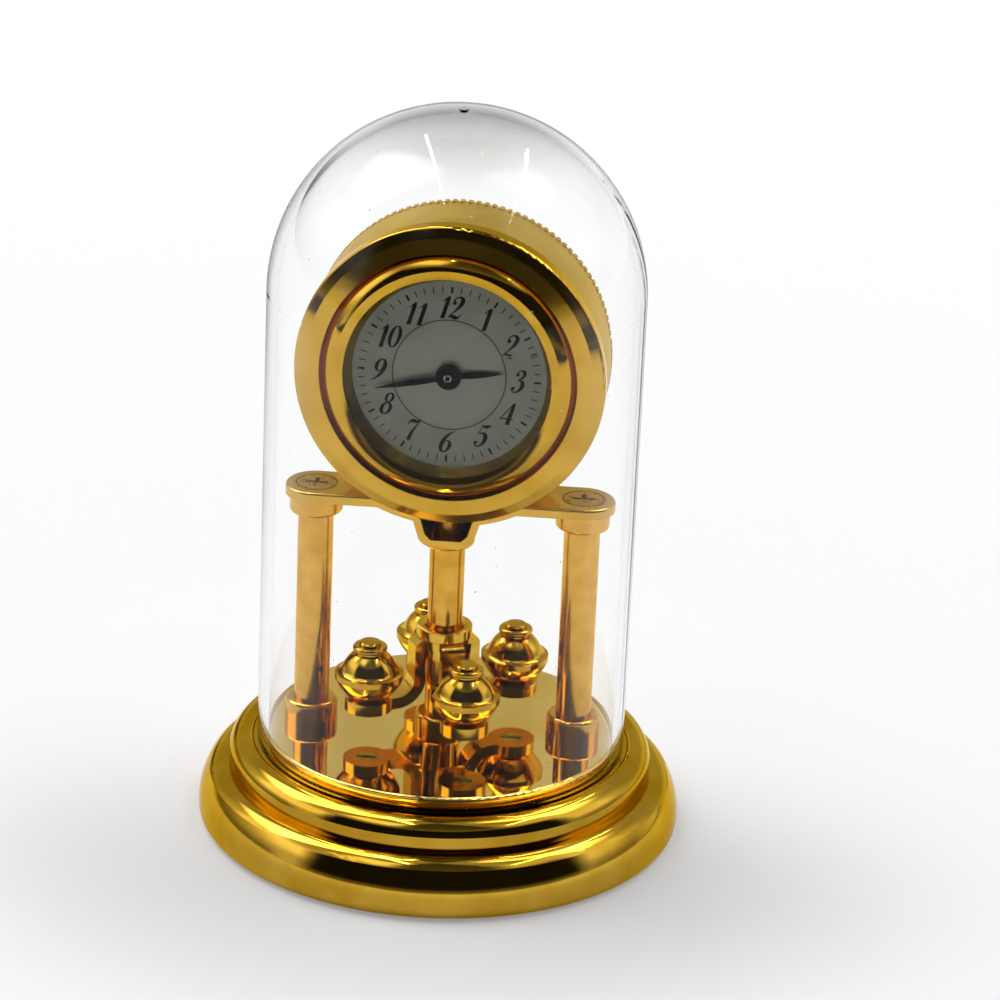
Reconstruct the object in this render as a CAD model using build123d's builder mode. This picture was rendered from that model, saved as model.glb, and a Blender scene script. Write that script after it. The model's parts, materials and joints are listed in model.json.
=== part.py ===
from build123d import *
from math import cos, pi, radians, sin, sqrt
import os

# Miniature anniversary clock, in millimetres.
# +Z is up, the dial looks along -Y, and the origin is the middle of the base on the surface it stands on.

# Dome, and the groove and plate that locate its foot
dome_wall = 0.9
dome_shoulder_rise = 5.96
gate_mark_radius = 0.4
gate_mark_height = 0.1
plate_gap = 0.12
plate_rise = 1.32
plate_edge_round = 0.2
groove_gap = 0.3

# Turned base, from the groove outwards and down
bead_crown_width = 0.75
bead_crown_rise = 0.35
bead_fall = 1.2
bead_width = 2.0
neck_depth = 0.04
neck_height = 1.38
lower_bead_height = 4.92
lower_shoulder_width = 1.75
lower_shoulder_fall = 0.72
lower_bead_overhang = 2.61
widest_height = 1.0
foot_inset = 0.96
base_wall = 1.0
pad_thickness = 0.8
pad_gap = 0.1
pad_border = 0.9
ballast_thickness = 2.0
ballast_gap = 0.1

# Columns, collars and their screws
pillar_radius = 1.5
pillar_height = 20.36
column_radius = 1.475
collar_width = 0.75
collar_bore_gap = 0.02
foot_collar_height = 1.8
centre_foot_collar_height = 1.2
top_collar_height = 1.6
centre_collar_height = 0.7
collar_round = 0.3
screw_radius = 0.6
screw_fit = 0.02
screw_reach = 3.5
foot_head_radius = 1.3
foot_head_height = 0.7
slot_width = 0.35
slot_depth = 0.3
tip_gap = 0.3

# Bridge
ear_radius = 2.68
ear_gap = 0.79
bridge_thickness = 0.85
saddle_depth = 1.51
saddle_gap = 0.04
saddle_web = 0.59
cup_drop = 1.98
cup_floor = 0.46
cup_half_width = 1.75
cup_wall = 0.5
cup_flare = 0.6
bridge_edge_round = 0.2
recess_radius = 1.8
recess_depth = 0.35
recess_ring = 0.13
cross_length = 1.9
cross_width = 0.36
cross_depth = 0.22

# Drum, measured forward from its own middle, and the degrees it is turned on the bridge
drum_turn = -4.1
dial_forward = 2.8
case_gap = 1.92
case_wall = 0.8
case_back_depth = 6.8
bezel_start_depth = 0.6
rim_height = 0.05
rim_width = 0.8
knurl_count = 120
knurl_depth = 0.16
flange_thickness = 1.0
spigot_step = 0.6
flange_reach = 3.0

# Bezel, measured inward from the drum's side and forward from the dial's face
bezel_ring_width = 2.17
bezel_ring_rise = 1.25
bezel_corner_width = 0.19
bezel_corner_height = 0.3
bezel_slope_width = 0.68
bezel_slope_rise = 0.28
bezel_cone_rise = 0.17
moat_width = 0.1
moat_depth = 0.6
bead_flank_step = 0.6
bead_flank_rise = 1.3
bead_crest_step = 1.25
bead_crest_rise = 1.7
bead_inner_step = 1.65
bead_inner_rise = 1.62
lip_step = 4.17
lip_rise = 1.5
crystal_thickness = 0.36
crystal_border = 0.3
crystal_gap = 0.03
rehaut_depth = 1.05
rehaut_step = 3.07
rehaut_width = 1.65
seat_gap = 0.04
dial_thickness = 0.3
dial_hole_radius = 0.95

# Hands
hour_shortfall = 1.7
hour_width = 0.55
minute_tip_gap = 1.75
minute_width = 0.5
stem_width = 0.3
boss_radius = 1.05
hand_thickness = 0.09
hour_lift = 0.2
minute_lift = 0.46
pin_radius = 0.36
pin_rise = 0.16
cap_radius = 0.62
cap_rise = 0.1
hour_angle = 8.0
minute_angle = 193.4

# Motion work behind the dial
train_share = 0.484
mesh_angle = 35.0
cannon_teeth = 12
minute_teeth = 36
minute_pinion_teeth = 10
hour_teeth = 40
setting_turn_teeth = 24
running_fit = 0.04
post_radius = 0.28
cannon_wall = 0.2
hour_pipe_wall = 0.22
wheel_thickness = 0.35
wheel_gap = 0.15
minute_post_radius = 0.25
dial_to_train = 0.3
plate_thickness = 0.4
plate_to_train = 0.12

# Movement, battery, lid and setting knob
movement_gap = 0.4
block_gap = 0.9
lid_to_block = 0.58
battery_margin = 1.37
battery_to_axis = 2.8
battery_floor = 1.0
pocket_gap = 0.08
strap_width = 1.6
strap_thickness = 0.12
strap_overhang = 1.0
coil_radius = 0.75
coil_end_margin = 3.57
coil_to_axis = 1.4
coil_side_margin = 5.37
rotor_x = 1.9
rotor_radius = 0.7
rotor_height = 0.7
rotor_shaft_radius = 0.25
rotor_bearing_share = 0.41
stator_thickness = 0.3
stator_width = 2.2
stator_overlap = 0.6
board_margin = 2.37
board_to_axis = 3.4
board_width = 5.0
board_thickness = 0.3
board_y = -0.2
lid_thickness = 0.55
lid_inset = 0.1
lid_fit = 0.05
pry_width = 2.0
pry_depth = 0.5
knob_radius = 1.6
knob_height = 0.9
knob_gap = 0.12
knob_shaft_radius = 0.5
knob_grip_count = 18
knob_grip_depth = 0.12

# Pendulum
hub_radius = 2.35
hub_height = 1.0
hub_round = 0.12
countersink_width = 0.32
countersink_depth = 0.3
pendulum_fit = 0.06
pendulum_rise = 7.45
thrust_gap = 0.05
rest_width = 0.48
rest_height = 0.9
rest_to_arm = 0.145
spider_thickness = 0.78
shoulder_radius = 0.8
arm_width = 1.9
arm_bend_radius = 1.5
arm_to_ball = 0.79
ball_to_pillar = 0.19
disc_radius = 2.0
disc_height = 1.0
disc_clearance = 2.28
arm_angles = (26.5, 105.0, 205.0, 291.0)
bell_foot_radius = 1.45
bell_height = 2.13
bell_waist_radius = 2.3
bell_waist_height = 0.86
lip_outer_radius = 2.88
lip_thickness = 0.24
ball_flare_radius = 2.5
ball_flare_height = 0.36
ball_waist_radius = 2.27
ball_waist_height = 0.7
ball_shoulder_radius = 2.0
ball_shoulder_height = 1.25
ball_dome_height = 1.9
ball_dome_top_radius = 1.43
ball_neck_radius = 1.2
ball_neck_height = 0.22
ball_ring_radius = 1.45
ball_ring_height = 0.56
ball_knob_radius = 0.92
ball_knob_height = 0.27
ball_knob_round = 0.08
ball_screw_radius = 0.5
ball_screw_head_radius = 0.85
ball_screw_head_height = 0.4
ball_screw_length = 1.4

# Every cut runs past the metal by this much
overrun = 0.5

# Radii worked out from the column outwards: the pendulum, the pillars it clears, the dome and the drum
arm_outer_radius = column_radius + rest_width + rest_to_arm + spider_thickness
disc_circle_radius = arm_outer_radius + arm_to_ball + lip_outer_radius
pillar_spacing = disc_circle_radius + lip_outer_radius + ball_to_pillar + pillar_radius
dome_bore_radius = pillar_spacing + ear_radius + ear_gap
dome_radius = dome_bore_radius + dome_wall
case_radius = dome_bore_radius - case_gap

# Heights worked out from the sizes above
groove_height = lower_bead_height + neck_height + bead_fall - bead_crown_rise
plate_top = groove_height + plate_rise
pillar_top = plate_top + pillar_height
ear_top = pillar_top + bridge_thickness
case_z = ear_top + case_radius - saddle_depth
cup_floor_top = ear_top - saddle_depth - cup_drop
column_top = cup_floor_top - cup_floor

# Radii of the base, from the dome outwards
plate_radius = dome_bore_radius - plate_gap
groove_radius = dome_radius + groove_gap
bead_radius = groove_radius + bead_width
neck_radius = bead_radius - neck_depth
base_shoulder_radius = neck_radius + lower_shoulder_width
base_radius = neck_radius + lower_bead_overhang
foot_radius = base_radius - foot_inset
cavity_radius = neck_radius - base_wall
cavity_top = groove_height - base_wall

# Axes and planes of the drum: its own X points right, its Y up and its Z at the viewer
case_middle = (0, 0, case_z)
case_right = (cos(radians(drum_turn)), sin(radians(drum_turn)), 0)
case_forward = (sin(radians(drum_turn)), -cos(radians(drum_turn)), 0)
case_axis = Axis(case_middle, case_forward)
face_plane = Plane(origin=case_middle, x_dir=case_right, z_dir=case_forward)
turning_plane = Plane(origin=case_middle, x_dir=case_right, z_dir=(0, 0, -1))

# Places along the drum, forward from its own middle
bezel_back = dial_forward - bezel_start_depth
dial_back = dial_forward - dial_thickness
case_back = dial_forward - case_back_depth
rim_front = case_back + rim_width
rim_radius = case_radius + rim_height
case_bore = case_radius - case_wall
spigot_radius = case_bore - spigot_step
flange_inner = spigot_radius - flange_reach
bezel_ring_inner = case_radius - bezel_ring_width
lip_radius = case_radius - lip_step
rehaut_outer = case_radius - rehaut_step
rehaut_inner = rehaut_outer - rehaut_width
minute_length = rehaut_inner - minute_tip_gap
hour_length = minute_length - hour_shortfall

os.makedirs("parts", exist_ok=True)


def save(piece, label):
    piece.part.label = label
    export_step(piece.part, f"parts/{label}.step")


def turned(outline, plane=Plane.XZ, axis=Axis.Z):
    """A solid of revolution from the closed outline in the plane's own coordinates."""
    with BuildPart() as piece:
        with BuildSketch(plane):
            with BuildLine():
                Polyline(*outline, close=True)
            make_face()
        revolve(axis=axis)
    return piece


def tube(outer, inner, low, high):
    """Outline of a ring about the axis, between two heights."""
    return [(inner, low), (outer, low), (outer, high), (inner, high)]


def plain(radius, low, high):
    """Outline of a solid cylinder about the axis, between two heights."""
    return [(0, low), (radius, low), (radius, high), (0, high)]


column_places = [(-pillar_spacing, 0), (0, 0), (pillar_spacing, 0)]
ear_places = [(-pillar_spacing, 0), (pillar_spacing, 0)]
screw_hole_radius = screw_radius + screw_fit
slant = sqrt(0.5)

# Base shell: lower bead, straight neck, upper bead and the flat that holds the plate and the dome
with BuildPart() as base_shell:
    bead_top = groove_height + bead_crown_rise
    bead_bottom = lower_bead_height + neck_height
    crown_radius = groove_radius + bead_crown_width
    shoulder_height = lower_bead_height - lower_shoulder_fall
    bead_side_share = 0.64
    crown_width_share, crown_fall_share = 0.56, 0.15
    side_width_share, side_height_share = 0.79, 0.52
    foot_share = 0.29
    with BuildSketch(Plane.XZ):
        with BuildLine():
            Polyline((0, cavity_top), (0, groove_height), (groove_radius, groove_height))
            ThreePointArc(
                (groove_radius, groove_height),
                (crown_radius - bead_crown_width * slant, groove_height + bead_crown_rise * slant),
                (crown_radius, bead_top),
            )
            ThreePointArc(
                (crown_radius, bead_top),
                (
                    crown_radius + (bead_radius - crown_radius) * bead_side_share,
                    bead_top - (bead_top - bead_bottom) * (1 - bead_side_share),
                ),
                (bead_radius, bead_bottom),
            )
            Line((bead_radius, bead_bottom), (neck_radius, lower_bead_height))
            ThreePointArc(
                (neck_radius, lower_bead_height),
                (
                    neck_radius + lower_shoulder_width * crown_width_share,
                    lower_bead_height - lower_shoulder_fall * crown_fall_share,
                ),
                (base_shoulder_radius, shoulder_height),
            )
            ThreePointArc(
                (base_shoulder_radius, shoulder_height),
                (
                    base_shoulder_radius + (base_radius - base_shoulder_radius) * side_width_share,
                    widest_height + (shoulder_height - widest_height) * side_height_share,
                ),
                (base_radius, widest_height),
            )
            ThreePointArc(
                (base_radius, widest_height),
                (base_radius - foot_inset * foot_share, widest_height * foot_share),
                (foot_radius, 0),
            )
            Polyline(
                (foot_radius, 0),
                (foot_radius - pad_border, 0),
                (foot_radius - pad_border, pad_thickness),
                (cavity_radius, pad_thickness),
                (cavity_radius, cavity_top),
                (0, cavity_top),
            )
        make_face()
    revolve(axis=Axis.Z)
    with Locations(*[(x, y, groove_height) for x, y in column_places]):
        Hole(radius=screw_hole_radius)
save(base_shell, "base_shell")

# Mirror plate that the columns stand on
with BuildPart() as mirror_plate:
    with BuildSketch(Plane.XY.offset(groove_height)):
        Circle(plate_radius)
    extrude(amount=plate_rise)
    fillet(mirror_plate.faces().sort_by(Axis.Z)[-1].edges(), radius=plate_edge_round)
    with Locations(*[(x, y, plate_top) for x, y in column_places]):
        Hole(radius=screw_hole_radius)
save(mirror_plate, "mirror_plate")

# Soft sole, level with the shell's rim, and the weight that lies on it
pad_radius = foot_radius - pad_border - pad_gap
base_pad = turned(plain(pad_radius, 0, pad_thickness))
save(base_pad, "base_pad")

ballast_top = pad_thickness + ballast_thickness
ballast_disc = turned(plain(cavity_radius - ballast_gap, pad_thickness, ballast_top))
save(ballast_disc, "ballast_disc")

# Screws that come up through the shell and the plate into the three columns
with BuildPart() as foot_screws:
    with BuildSketch(Plane.XY.offset(cavity_top)):
        with Locations(*column_places):
            Circle(screw_radius)
    extrude(amount=plate_top + screw_reach - cavity_top)
    with BuildSketch(Plane.XY.offset(cavity_top)):
        with Locations(*column_places):
            Circle(foot_head_radius)
    extrude(amount=-foot_head_height)
    with BuildSketch(Plane.XY.offset(cavity_top - foot_head_height)):
        with Locations(*column_places):
            Rectangle(2 * foot_head_radius + overrun, slot_width)
    extrude(amount=slot_depth, mode=Mode.SUBTRACT)
save(foot_screws, "foot_screws")

# Dome: a straight wall closed by a half sphere, open at its foot
with BuildPart() as dome:
    shoulder_z = case_z + dome_shoulder_rise
    apex_z = shoulder_z + dome_radius
    with BuildSketch(Plane.XZ):
        with BuildLine():
            Line((dome_bore_radius, groove_height), (dome_radius, groove_height))
            Line((dome_radius, groove_height), (dome_radius, shoulder_z))
            ThreePointArc(
                (dome_radius, shoulder_z),
                (dome_radius * slant, shoulder_z + dome_radius * slant),
                (0, apex_z),
            )
            Line((0, apex_z), (0, shoulder_z + dome_bore_radius))
            ThreePointArc(
                (0, shoulder_z + dome_bore_radius),
                (dome_bore_radius * slant, shoulder_z + dome_bore_radius * slant),
                (dome_bore_radius, shoulder_z),
            )
            Line((dome_bore_radius, shoulder_z), (dome_bore_radius, groove_height))
        make_face()
    revolve(axis=Axis.Z)
    with BuildSketch(Plane.XY.offset(apex_z - dome_wall / 2)):
        Circle(gate_mark_radius)
    extrude(amount=dome_wall / 2 + gate_mark_height)
save(dome, "dome")


def column(x, radius, top):
    """A round column on the plate with a blind screw hole in each end."""
    with BuildPart() as piece:
        with BuildSketch(Plane.XY.offset(plate_top)):
            with Locations((x, 0)):
                Circle(radius)
        extrude(amount=top - plate_top)
        with Locations((x, 0, top)):
            Hole(radius=screw_hole_radius, depth=screw_reach + tip_gap)
        with BuildSketch(Plane.XY.offset(plate_top)):
            with Locations((x, 0)):
                Circle(screw_hole_radius)
        extrude(amount=screw_reach + tip_gap, mode=Mode.SUBTRACT)
    return piece


def collar(x, radius, low, high, round_top):
    """A ring round a column, with one rounded end."""
    with BuildPart() as piece:
        with BuildSketch(Plane.XY.offset(low)):
            with Locations((x, 0)):
                Circle(radius + collar_width)
        extrude(amount=high - low)
        end = piece.faces().sort_by(Axis.Z)[-1 if round_top else 0]
        fillet(end.edges(), radius=min(collar_round, (high - low) / 2))
        with Locations((x, 0, high)):
            Hole(radius=radius + collar_bore_gap)
    return piece


# Side pillars with their collars
for side, x in (("left", -pillar_spacing), ("right", pillar_spacing)):
    save(column(x, pillar_radius, pillar_top), f"{side}_pillar")
    save(collar(x, pillar_radius, plate_top, plate_top + foot_collar_height, True), f"{side}_foot_collar")
    save(collar(x, pillar_radius, pillar_top - top_collar_height, pillar_top, False), f"{side}_top_collar")

# Centre column, which is the pendulum's axis, with its collars and the ring that the pendulum rests on
save(column(0, column_radius, column_top), "centre_column")
save(collar(0, column_radius, plate_top, plate_top + centre_foot_collar_height, True), "centre_foot_collar")
save(collar(0, column_radius, column_top - centre_collar_height, column_top, False), "centre_top_collar")

spider_bottom = plate_top + pendulum_rise
rest_top = spider_bottom - thrust_gap
rest_ring = turned(tube(column_radius + rest_width, column_radius, rest_top - rest_height, rest_top))
save(rest_ring, "rest_ring")

# Bridge: round ears, a saddle under the drum and a cup, closed at the rear, that drops to the column
with BuildPart() as bridge:
    bridge_end = pillar_spacing + ear_radius
    cup_outer = cup_half_width + cup_wall
    saddle_radius = case_radius + saddle_gap
    web_radius = saddle_radius + saddle_web
    with BuildSketch(Plane.XZ):
        with Locations((0, case_z)):
            Circle(web_radius)
        with Locations((0, ear_top)):
            Rectangle(2 * bridge_end, 2 * web_radius, align=(Align.CENTER, Align.MAX), mode=Mode.INTERSECT)
        with Locations((0, ear_top)):
            Rectangle(2 * bridge_end, bridge_thickness, align=(Align.CENTER, Align.MAX))
        with BuildLine():
            cup_top = ear_top - saddle_depth
            Polyline(
                (-cup_outer - cup_flare, cup_top),
                (-cup_outer, column_top + cup_wall),
                (-cup_half_width, column_top),
                (cup_half_width, column_top),
                (cup_outer, column_top + cup_wall),
                (cup_outer + cup_flare, cup_top),
                close=True,
            )
        make_face()
        with BuildLine():
            Polyline(
                (-cup_half_width - cup_flare, cup_top + overrun),
                (-cup_half_width, cup_floor_top + cup_wall),
                (-cup_half_width + cup_wall, cup_floor_top),
                (cup_half_width - cup_wall, cup_floor_top),
                (cup_half_width, cup_floor_top + cup_wall),
                (cup_half_width + cup_flare, cup_top + overrun),
                close=True,
            )
        make_face(mode=Mode.SUBTRACT)
    extrude(amount=ear_radius, both=True)
    with BuildSketch(Plane.XY.offset(column_top)):
        SlotCenterToCenter(2 * pillar_spacing, 2 * ear_radius)
    extrude(amount=ear_top - column_top, mode=Mode.INTERSECT)
    with BuildSketch(Plane.XZ.offset(-ear_radius)):
        with BuildLine():
            Polyline(
                (-cup_half_width - cup_flare, cup_top + overrun),
                (-cup_half_width, cup_floor_top),
                (cup_half_width, cup_floor_top),
                (cup_half_width + cup_flare, cup_top + overrun),
                close=True,
            )
        make_face()
    extrude(amount=cup_wall)
    with BuildSketch(face_plane):
        Circle(saddle_radius)
    extrude(amount=2 * ear_radius, both=True, mode=Mode.SUBTRACT)
    ear_tops = bridge.faces().filter_by(Axis.Z).group_by(Axis.Z)[-1]
    fillet(ear_tops.edges().filter_by(GeomType.CIRCLE), radius=bridge_edge_round)
    with Locations(*[(x, y, ear_top) for x, y in ear_places]):
        CounterBoreHole(
            radius=screw_hole_radius,
            counter_bore_radius=recess_radius,
            counter_bore_depth=recess_depth,
            depth=bridge_thickness + overrun,
        )
    with Locations((0, 0, cup_floor_top)):
        Hole(radius=screw_hole_radius, depth=cup_floor + overrun)
save(bridge, "bridge")

# Flat cross-head screws in the ears
with BuildPart() as bridge_screws:
    with BuildSketch(Plane.XY.offset(ear_top)):
        with Locations(*ear_places):
            Circle(recess_radius - recess_ring)
    extrude(amount=-recess_depth)
    with BuildSketch(Plane.XY.offset(ear_top - recess_depth)):
        with Locations(*ear_places):
            Circle(screw_radius)
    extrude(amount=-screw_reach)
    with BuildSketch(Plane.XY.offset(ear_top)):
        with Locations(*ear_places):
            Rectangle(cross_length, cross_width)
            Rectangle(cross_width, cross_length)
    extrude(amount=-cross_depth, mode=Mode.SUBTRACT)
save(bridge_screws, "bridge_screws")

# Stud between the drum and the centre column: a round neck that fits the drum, and a thread each way
with BuildPart() as case_stud:
    stud_neck_share = 0.7
    with BuildSketch(Plane.XY.offset(cup_floor_top)):
        Circle(cup_half_width * stud_neck_share)
    extrude(amount=cup_drop + saddle_depth)
    with BuildSketch(face_plane):
        Circle(case_radius)
    extrude(amount=ear_radius, both=True, mode=Mode.SUBTRACT)
    with BuildSketch(Plane.XY.offset(cup_floor_top - cup_floor - screw_reach)):
        Circle(screw_radius)
    extrude(amount=cup_floor + screw_reach)
    with BuildSketch(Plane.XY.offset(cup_floor_top)):
        Circle(screw_radius)
    extrude(amount=cup_drop + case_wall)
save(case_stud, "case_stud")

# Drum: a tube with a front flange for the dial, a spigot for the bezel and a knurled rear rim
with BuildPart() as case_drum:
    flange_back = dial_back - flange_thickness
    with BuildSketch(turning_plane):
        with BuildLine():
            Polyline(
                (case_bore, case_back),
                (rim_radius, case_back),
                (rim_radius, rim_front),
                (case_radius, rim_front),
                (case_radius, bezel_back),
                (spigot_radius, bezel_back),
                (spigot_radius, dial_back),
                (flange_inner, dial_back),
                (flange_inner, flange_back),
                (case_bore, flange_back),
                close=True,
            )
        make_face()
    revolve(axis=case_axis)
    with BuildSketch(face_plane.offset(case_back)):
        with PolarLocations(rim_radius, knurl_count):
            Circle(knurl_depth)
    extrude(amount=rim_width, mode=Mode.SUBTRACT)
    with Locations((0, 0, case_z - case_bore)):
        Hole(radius=screw_hole_radius, depth=case_wall + overrun)
save(case_drum, "case_drum")

# Bezel: tight corner, slope, broad conical ring, moat, inner bead and the lip over the crystal
with BuildPart() as bezel:
    ring_rise = dial_forward + bezel_ring_rise
    ridge_rise = ring_rise - bezel_cone_rise
    corner_rise = ridge_rise - bezel_slope_rise
    rehaut_front = dial_forward + rehaut_depth
    crystal_front = rehaut_front + crystal_thickness
    crystal_bore = lip_radius + crystal_border
    rehaut_bore = rehaut_outer + seat_gap
    spigot_bore = spigot_radius + seat_gap
    with BuildSketch(turning_plane):
        with BuildLine():
            Line((case_radius, bezel_back), (case_radius, corner_rise - bezel_corner_height))
            ThreePointArc(
                (case_radius, corner_rise - bezel_corner_height),
                (
                    case_radius - bezel_corner_width * (1 - slant),
                    corner_rise - bezel_corner_height * (1 - slant),
                ),
                (case_radius - bezel_corner_width, corner_rise),
            )
            Polyline(
                (case_radius - bezel_corner_width, corner_rise),
                (case_radius - bezel_corner_width - bezel_slope_width, ridge_rise),
                (bezel_ring_inner, ring_rise),
                (bezel_ring_inner - moat_width, ring_rise - moat_depth),
            )
            ThreePointArc(
                (bezel_ring_inner - moat_width, ring_rise - moat_depth),
                (bezel_ring_inner - bead_flank_step, dial_forward + bead_flank_rise),
                (bezel_ring_inner - bead_crest_step, dial_forward + bead_crest_rise),
            )
            ThreePointArc(
                (bezel_ring_inner - bead_crest_step, dial_forward + bead_crest_rise),
                (bezel_ring_inner - bead_inner_step, dial_forward + bead_inner_rise),
                (lip_radius, dial_forward + lip_rise),
            )
            Polyline(
                (lip_radius, dial_forward + lip_rise),
                (lip_radius, crystal_front),
                (crystal_bore, crystal_front),
                (crystal_bore, rehaut_front),
                (rehaut_bore, rehaut_front),
                (rehaut_bore, dial_back),
                (spigot_bore, dial_back),
                (spigot_bore, bezel_back),
                (case_radius, bezel_back),
            )
        make_face()
    revolve(axis=case_axis)
save(bezel, "bezel")

# Crystal, the conical ring behind it and the dial
crystal = turned(plain(crystal_bore - crystal_gap, rehaut_front, crystal_front), turning_plane, case_axis)
save(crystal, "crystal")

rehaut = turned(
    [
        (rehaut_inner, dial_forward),
        (rehaut_outer, dial_forward),
        (rehaut_outer, rehaut_front),
        (lip_radius, rehaut_front),
    ],
    turning_plane,
    case_axis,
)
save(rehaut, "rehaut")

dial = turned(tube(rehaut_outer, dial_hole_radius, dial_back, dial_forward), turning_plane, case_axis)
save(dial, "dial")

# Levels and radii of the motion work, forward from the drum's middle
hour_wheel_front = dial_back - dial_to_train
hour_wheel_back = hour_wheel_front - wheel_thickness
minute_wheel_front = hour_wheel_back - wheel_gap
minute_wheel_back = minute_wheel_front - wheel_thickness
plate_front = minute_wheel_back - plate_to_train
plate_back = plate_front - plate_thickness
hour_hand_back = dial_forward + hour_lift
minute_hand_back = dial_forward + minute_lift
minute_hand_front = minute_hand_back + hand_thickness
cannon_bore = post_radius + running_fit
cannon_radius = cannon_bore + cannon_wall
hour_bore = cannon_radius + running_fit
hour_pipe_radius = hour_bore + hour_pipe_wall
minute_bore = minute_post_radius + running_fit
train_distance = flange_inner * train_share
minute_module = 2 * train_distance / (cannon_teeth + minute_teeth)
hour_module = 2 * train_distance / (minute_pinion_teeth + hour_teeth)
minute_place = (train_distance * cos(radians(mesh_angle)), train_distance * sin(radians(mesh_angle)))
minute_tooth_angle = 360 / minute_teeth
setting_angle = mesh_angle + 180 + minute_tooth_angle / 2 - setting_turn_teeth * minute_tooth_angle
setting_place = (
    minute_place[0] + train_distance * cos(radians(setting_angle)),
    minute_place[1] + train_distance * sin(radians(setting_angle)),
)


def gear(level, thickness, teeth, module, place, first_tooth):
    """Adds a toothed wheel to the part in hand; its teeth leave backlash at the pitch line."""
    pitch_radius = teeth * module / 2
    pitch = pi * module
    root_share, tip_share = 1.1, 0.85
    root_half_share, pitch_half_share, tip_half_share = 0.28, 0.2, 0.09
    root_radius = pitch_radius - root_share * module
    tip_radius = pitch_radius + tip_share * module
    sunk_radius = root_radius - module / 2
    with BuildSketch(face_plane.offset(level)) as outline:
        with Locations(place):
            Circle(root_radius)
        with Locations(place):
            with PolarLocations(0, teeth, start_angle=first_tooth):
                Polygon(
                    (sunk_radius, -root_half_share * pitch),
                    (root_radius, -root_half_share * pitch),
                    (pitch_radius, -pitch_half_share * pitch),
                    (tip_radius, -tip_half_share * pitch),
                    (tip_radius, tip_half_share * pitch),
                    (pitch_radius, pitch_half_share * pitch),
                    (root_radius, root_half_share * pitch),
                    (sunk_radius, root_half_share * pitch),
                    align=None,
                )
    extrude(outline.sketch, amount=thickness)


def disc(level, thickness, radius, place=(0, 0), mode=Mode.ADD):
    """Adds or cuts a round disc on the drum's own plane."""
    with BuildSketch(face_plane.offset(level)) as outline:
        with Locations(place):
            Circle(radius)
    extrude(outline.sketch, amount=thickness, mode=mode)


# Movement plate with the post that carries the hands and the post of the minute wheel
with BuildPart() as movement_plate:
    disc(plate_back, plate_thickness, case_bore - movement_gap)
    disc(plate_back, minute_hand_back - plate_back, post_radius)
    disc(plate_back, hour_wheel_front - plate_back, minute_post_radius, minute_place)
    disc(
        plate_back - overrun,
        plate_thickness + 2 * overrun,
        knob_shaft_radius + running_fit,
        setting_place,
        Mode.SUBTRACT,
    )
save(movement_plate, "movement_plate")

# Cannon pinion under the minute hand, wheel pair beside it and the hour wheel over it
with BuildPart() as cannon_pinion:
    gear(minute_wheel_back, wheel_thickness, cannon_teeth, minute_module, (0, 0), mesh_angle)
    disc(minute_wheel_back, minute_hand_front - minute_wheel_back, cannon_radius)
    disc(
        minute_wheel_back - overrun,
        minute_hand_back - minute_wheel_back + overrun,
        cannon_bore,
        mode=Mode.SUBTRACT,
    )
save(cannon_pinion, "cannon_pinion")

with BuildPart() as minute_wheel:
    gear(
        minute_wheel_back,
        wheel_thickness,
        minute_teeth,
        minute_module,
        minute_place,
        mesh_angle + 180 + minute_tooth_angle / 2,
    )
    gear(
        minute_wheel_front,
        hour_wheel_front - minute_wheel_front,
        minute_pinion_teeth,
        hour_module,
        minute_place,
        mesh_angle + 180 + 180 / minute_pinion_teeth,
    )
    disc(
        minute_wheel_back - overrun,
        hour_wheel_front - minute_wheel_back + 2 * overrun,
        minute_bore,
        minute_place,
        Mode.SUBTRACT,
    )
save(minute_wheel, "minute_wheel")

with BuildPart() as hour_wheel:
    gear(hour_wheel_back, wheel_thickness, hour_teeth, hour_module, (0, 0), mesh_angle)
    disc(hour_wheel_back, hour_hand_back + hand_thickness - hour_wheel_back, hour_pipe_radius)
    disc(
        hour_wheel_back - overrun,
        hour_hand_back + hand_thickness - hour_wheel_back + 2 * overrun,
        hour_bore,
        mode=Mode.SUBTRACT,
    )
save(hour_wheel, "hour_wheel")


def leaf_hand(angle, level, length, width, bore):
    """A flat hand with a round boss and a leaf that swells past the middle and ends in a point."""
    widest_share = 0.5
    along, up = cos(radians(angle)), sin(radians(angle))
    hand_plane = Plane(
        origin=face_plane.from_local_coords((0, 0, level)),
        x_dir=(along * case_right[0], along * case_right[1], up),
        z_dir=case_forward,
    )
    with BuildPart() as piece:
        with BuildSketch(hand_plane):
            Circle(boss_radius)
            with BuildLine():
                ThreePointArc((0, stem_width / 2), (length * widest_share, width / 2), (length, 0))
                ThreePointArc((length, 0), (length * widest_share, -width / 2), (0, -stem_width / 2))
                Line((0, -stem_width / 2), (0, stem_width / 2))
            make_face()
            Circle(bore, mode=Mode.SUBTRACT)
        extrude(amount=hand_thickness)
    return piece


save(leaf_hand(hour_angle, hour_hand_back, hour_length, hour_width, hour_pipe_radius), "hour_hand")
save(leaf_hand(minute_angle, minute_hand_back, minute_length, minute_width, cannon_radius), "minute_hand")

# Cap with a small pin over the minute hand's boss
with BuildPart() as hand_cap:
    disc(minute_hand_front, cap_rise, cap_radius)
    disc(minute_hand_front, cap_rise + pin_rise, pin_radius)
save(hand_cap, "hand_cap")

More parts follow.
